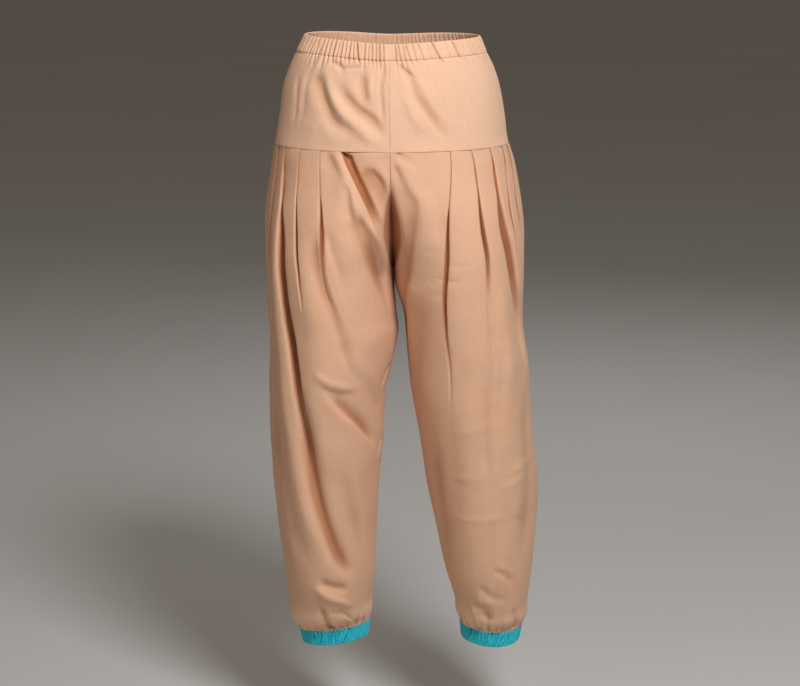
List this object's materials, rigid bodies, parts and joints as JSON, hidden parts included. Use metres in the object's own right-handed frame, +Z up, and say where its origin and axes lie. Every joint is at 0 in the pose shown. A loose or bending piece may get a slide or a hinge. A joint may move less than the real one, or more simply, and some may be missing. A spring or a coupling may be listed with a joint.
{
  "type": "salwar",
  "caption": "Full pleated salwar trousers worn on the hips: elasticated waist casing, fitted hip yoke, wide pleated legs gathered into narrow elasticated contrast cuffs.",
  "frame": {"origin": "centre of the waist casing at half its height, where the wearer holds the garment up", "axes": "+Z up along the body, +X to the wearer's left, -Y to the wearer's front"},
  "size_m": [0.4357, 0.2875, 0.9948],
  "materials": {
    "peach_cloth": "plain-weave cotton, matt",
    "turquoise_cloth": "plain-weave cotton over elastic, slight sheen"
  },
  "bodies": {
    "root": {"waist_casing": "peach_cloth", "yoke_left": "peach_cloth", "yoke_right": "peach_cloth", "leg_left": "peach_cloth", "leg_right": "peach_cloth", "cuff_left": "turquoise_cloth", "cuff_right": "turquoise_cloth"}
  },
  "joints": []
}
